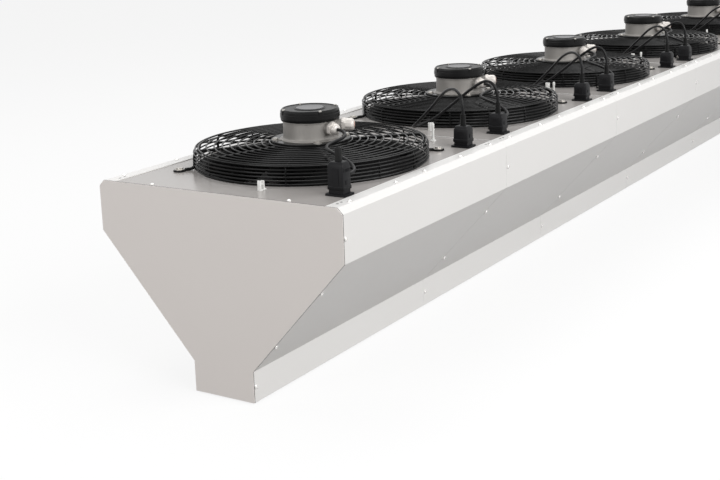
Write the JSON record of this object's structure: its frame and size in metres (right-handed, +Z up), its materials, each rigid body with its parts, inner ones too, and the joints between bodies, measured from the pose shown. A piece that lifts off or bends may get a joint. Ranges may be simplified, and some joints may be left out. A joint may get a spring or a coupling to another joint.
{
  "type": "air curtain",
  "caption": "Long sheet-metal air curtain with a tapering discharge nozzle below, guarded axial fans with terminal boxes on top, and plug connectors joined by cables.",
  "frame": {"origin": "centre of the unit's length and width at the level that its discharge nozzle's screw heads stand on", "axes": "+X along the row of fans, from the end plate at the picture's left to the far one; +Z up, out of the fans' inlets; -Y is the front side with the connectors"},
  "size_m": [3.425, 0.606, 0.5517],
  "materials": {
    "end_paint": "light warm grey powder coat, fine texture",
    "top_paint": "semi-gloss grey powder coat",
    "panel_paint": "near-white powder coat",
    "zinc_sheet": "galvanised sheet",
    "screw_white": "painted screw heads",
    "guard_black": "gloss black coated wire",
    "cast_can": "fine cast aluminium",
    "fan_black": "black painted sheet",
    "ring_black": "black painted steel",
    "cover_black": "satin black cover",
    "gland_nickel": "nickel-plated brass",
    "bolt_steel": "zinc-plated steel",
    "plug_black": "black moulded plastic",
    "sleeve_rubber": "black rubber",
    "clip_white": "white nylon",
    "cable_black": "black cable sheath"
  },
  "bodies": {
    "root": {"end_plate_left": "end_paint", "end_plate_right": "end_paint", "top_plate_1": "top_paint", "front_panel_1": "panel_paint", "rear_panel_1": "panel_paint", "top_plate_2": "top_paint", "front_panel_2": "panel_paint", "rear_panel_2": "panel_paint", "top_plate_3": "top_paint", "front_panel_3": "panel_paint", "rear_panel_3": "panel_paint", "top_plate_4": "top_paint", "front_panel_4": "panel_paint", "rear_panel_4": "panel_paint", "top_plate_5": "top_paint", "front_panel_5": "panel_paint", "rear_panel_5": "panel_paint", "joint_frame_1": "zinc_sheet", "joint_frame_2": "zinc_sheet", "joint_frame_3": "zinc_sheet", "joint_frame_4": "zinc_sheet", "outlet_vanes": "zinc_sheet", "panel_screws": "screw_white", "nozzle_screws": "screw_white", "fan_guard_1": "guard_black", "motor_housing_1": "cast_can", "fan_guard_2": "guard_black", "motor_housing_2": "cast_can", "fan_guard_3": "guard_black", "motor_housing_3": "cast_can", "fan_guard_4": "guard_black", "motor_housing_4": "cast_can", "fan_guard_5": "guard_black", "motor_housing_5": "cast_can", "inlet_rings": "ring_black", "terminal_covers": "cover_black", "cable_glands": "gland_nickel", "blanking_glands": "gland_nickel", "motor_bolts": "bolt_steel", "guard_bolts": "bolt_steel", "connector_bases": "plug_black", "connector_hoods": "plug_black", "bend_sleeves": "sleeve_rubber", "cable_clips": "clip_white", "fan_cable_1": "cable_black", "fan_cable_2": "cable_black", "fan_cable_3": "cable_black", "fan_cable_4": "cable_black", "fan_cable_5": "cable_black", "link_cable_1": "cable_black", "link_cable_2": "cable_black", "link_cable_3": "cable_black", "link_cable_4": "cable_black"},
    "impeller_1": {"impeller_1": "fan_black"},
    "impeller_2": {"impeller_2": "fan_black"},
    "impeller_3": {"impeller_3": "fan_black"},
    "impeller_4": {"impeller_4": "fan_black"},
    "impeller_5": {"impeller_5": "fan_black"}
  },
  "joints": [
    {"name": "fan_spin_1", "type": "hinge", "parent": "root", "child": "impeller_1", "pos_m": [-1.37, 0, 0.4235], "axis": [0, 0, 1], "continuous": true},
    {"name": "fan_spin_2", "type": "hinge", "parent": "root", "child": "impeller_2", "pos_m": [-0.685, 0, 0.4235], "axis": [0, 0, 1], "continuous": true},
    {"name": "fan_spin_3", "type": "hinge", "parent": "root", "child": "impeller_3", "pos_m": [0, 0, 0.4235], "axis": [0, 0, 1], "continuous": true},
    {"name": "fan_spin_4", "type": "hinge", "parent": "root", "child": "impeller_4", "pos_m": [0.685, 0, 0.4235], "axis": [0, 0, 1], "continuous": true},
    {"name": "fan_spin_5", "type": "hinge", "parent": "root", "child": "impeller_5", "pos_m": [1.37, 0, 0.4235], "axis": [0, 0, 1], "continuous": true}
  ]
}
